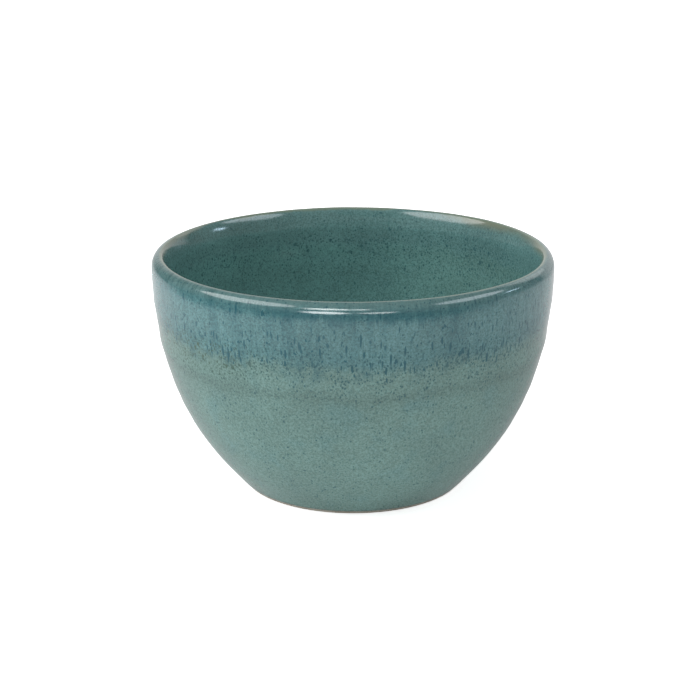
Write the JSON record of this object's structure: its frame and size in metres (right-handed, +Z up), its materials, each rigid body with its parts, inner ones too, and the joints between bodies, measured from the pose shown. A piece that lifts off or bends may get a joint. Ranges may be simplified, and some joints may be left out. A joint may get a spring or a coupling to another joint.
{
  "type": "prep bowl",
  "caption": "Round stoneware prep bowl with a curved flaring wall, rounded lip and trimmed foot ring, glazed inside and out, for holding measured ingredients.",
  "frame": {"origin": "on the table, under the middle of the foot ring", "axes": "+Z up along the bowl's axis of turning; X and Y are free, since the bowl is round"},
  "size_m": [0.1274, 0.1274, 0.0755],
  "materials": {
    "stoneware": "matt bare fired clay, buff to pinkish tan",
    "inside_glaze": "glossy fired glaze, speckled teal green",
    "outside_glaze": "glossy fired glaze, speckled celadon green",
    "rim_glaze": "glossy fired glaze, blue-grey with darker runs, breaking pale tan at the lip",
    "underside_glaze": "glossy fired glaze, speckled celadon green"
  },
  "bodies": {
    "root": {"stoneware_body": "stoneware", "inside_glaze": "inside_glaze", "outside_glaze": "outside_glaze", "rim_glaze": "rim_glaze", "underside_glaze": "underside_glaze"}
  },
  "joints": []
}
